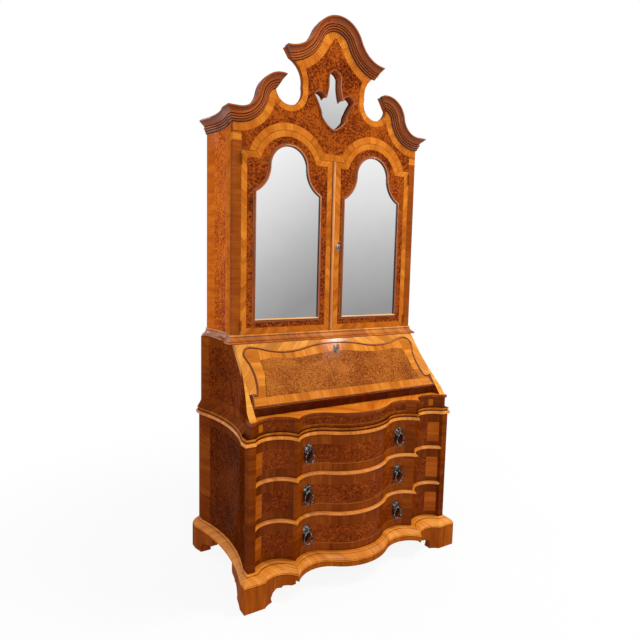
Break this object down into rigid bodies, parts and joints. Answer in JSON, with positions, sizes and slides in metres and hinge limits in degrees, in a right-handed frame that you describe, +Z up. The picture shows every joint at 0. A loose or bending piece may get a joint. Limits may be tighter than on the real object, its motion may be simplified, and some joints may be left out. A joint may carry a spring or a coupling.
{
  "type": "bureau cabinet",
  "caption": "Tall bureau cabinet: serpentine drawers on bracket feet, a slanted fall front and two arched mirrored doors under a scrolled pediment.",
  "frame": {"origin": "centre of the bounding box on the floor", "axes": "+Z up, +Y to the back, so the front faces -Y; +X to the right seen from the front"},
  "size_m": [1.148, 0.683, 2.5169],
  "materials": {
    "walnut_veneer": "polished burl veneer",
    "walnut_moulding": "polished moulding",
    "inner_wood": "plain waxed",
    "mirror_plate": "old silvered plate",
    "aged_brass": "aged",
    "dark_pewter": "dark and worn"
  },
  "bodies": {
    "case": {"foot_front_right": "walnut_moulding", "foot_front_left": "walnut_moulding", "feet_back": "walnut_moulding", "plinth_moulding": "walnut_moulding", "chest_side_right": "walnut_veneer", "chest_side_left": "walnut_veneer", "lower_back": "inner_wood", "drawer_boards": "inner_wood", "drawer_rails": "walnut_moulding", "waist_moulding": "walnut_moulding", "frieze_rail": "walnut_veneer", "ledge_board": "walnut_moulding", "bureau_side_right": "walnut_veneer", "bureau_side_left": "walnut_veneer", "bureau_top": "walnut_veneer", "fall_hinge_plates": "aged_brass", "writing_board": "inner_wood", "slant_frame": "walnut_veneer", "pigeonhole_case": "inner_wood", "upper_base_moulding": "walnut_moulding", "upper_side_right": "walnut_veneer", "upper_side_left": "walnut_veneer", "upper_back": "inner_wood", "upper_bottom": "inner_wood", "upper_top": "inner_wood", "shelves": "inner_wood", "face_stiles": "walnut_veneer", "neck_mouldings": "walnut_moulding", "crest_moulding": "walnut_moulding", "pediment_board": "walnut_veneer", "cartouche_mirror": "mirror_plate", "cartouche_rim": "walnut_moulding", "side_cornices": "walnut_moulding"},
    "fall": {"fall_board": "walnut_veneer", "fall_bead": "walnut_moulding", "fall_escutcheon": "aged_brass", "fall_hinge_leaves": "aged_brass"},
    "key": {"fall_key": "aged_brass"},
    "right_door": {"door_right": "walnut_veneer", "door_right_mirror": "mirror_plate", "door_right_hinges": "aged_brass", "door_escutcheon": "aged_brass"},
    "left_door": {"door_left": "walnut_veneer", "door_left_mirror": "mirror_plate", "door_left_hinges": "aged_brass"},
    "inner_right": {"inner_drawer_right": "inner_wood"},
    "inner_left": {"inner_drawer_left": "inner_wood"},
    "bottom_drawer": {"bottom_drawer": "walnut_veneer", "bottom_drawer_plates": "dark_pewter"},
    "bottom_left_bail": {"bottom_left_bail": "dark_pewter"},
    "bottom_right_bail": {"bottom_right_bail": "dark_pewter"},
    "middle_drawer": {"middle_drawer": "walnut_veneer", "middle_drawer_plates": "dark_pewter"},
    "middle_left_bail": {"middle_left_bail": "dark_pewter"},
    "middle_right_bail": {"middle_right_bail": "dark_pewter"},
    "top_drawer": {"top_drawer": "walnut_veneer", "top_drawer_plates": "dark_pewter"},
    "top_left_bail": {"top_left_bail": "dark_pewter"},
    "top_right_bail": {"top_right_bail": "dark_pewter"}
  },
  "joints": [
    {"name": "fall_hinge", "type": "hinge", "parent": "case", "child": "fall", "pos_m": [0, -0.17801, 0.79943], "axis": [1, 0, 0], "range_deg": [0, 130.24]},
    {"name": "key_turn", "type": "hinge", "parent": "fall", "child": "key", "pos_m": [0, -0.03526, 1.0022], "axis": [0, -0.7634, 0.6459], "range_deg": [0, 180]},
    {"name": "right_door_hinge", "type": "hinge", "parent": "case", "child": "right_door", "pos_m": [0.462, 0.0247, 1.5], "axis": [0, 0, 1], "range_deg": [0, 110]},
    {"name": "left_door_hinge", "type": "hinge", "parent": "case", "child": "left_door", "pos_m": [-0.462, 0.0247, 1.5], "axis": [0, 0, -1], "range_deg": [0, 110]},
    {"name": "inner_right_slide", "type": "slide", "parent": "case", "child": "inner_right", "axis": [0, -1, 0], "range_m": [0, 0.14]},
    {"name": "inner_left_slide", "type": "slide", "parent": "case", "child": "inner_left", "axis": [0, -1, 0], "range_m": [0, 0.14]},
    {"name": "bottom_drawer_slide", "type": "slide", "parent": "case", "child": "bottom_drawer", "axis": [0, -1, 0], "range_m": [0, 0.38]},
    {"name": "bottom_left_bail_swing", "type": "hinge", "parent": "bottom_drawer", "child": "bottom_left_bail", "pos_m": [-0.25, -0.2375, 0.2485], "axis": [-1, 0, 0], "range_deg": [0, 80]},
    {"name": "bottom_right_bail_swing", "type": "hinge", "parent": "bottom_drawer", "child": "bottom_right_bail", "pos_m": [0.25, -0.2375, 0.2485], "axis": [-1, 0, 0], "range_deg": [0, 80]},
    {"name": "middle_drawer_slide", "type": "slide", "parent": "case", "child": "middle_drawer", "axis": [0, -1, 0], "range_m": [0, 0.38]},
    {"name": "middle_left_bail_swing", "type": "hinge", "parent": "middle_drawer", "child": "middle_left_bail", "pos_m": [-0.25, -0.2375, 0.4315], "axis": [-1, 0, 0], "range_deg": [0, 80]},
    {"name": "middle_right_bail_swing", "type": "hinge", "parent": "middle_drawer", "child": "middle_right_bail", "pos_m": [0.25, -0.2375, 0.4315], "axis": [-1, 0, 0], "range_deg": [0, 80]},
    {"name": "top_drawer_slide", "type": "slide", "parent": "case", "child": "top_drawer", "axis": [0, -1, 0], "range_m": [0, 0.38]},
    {"name": "top_left_bail_swing", "type": "hinge", "parent": "top_drawer", "child": "top_left_bail", "pos_m": [-0.25, -0.2375, 0.614], "axis": [-1, 0, 0], "range_deg": [0, 80]},
    {"name": "top_right_bail_swing", "type": "hinge", "parent": "top_drawer", "child": "top_right_bail", "pos_m": [0.25, -0.2375, 0.614], "axis": [-1, 0, 0], "range_deg": [0, 80]}
  ]
}
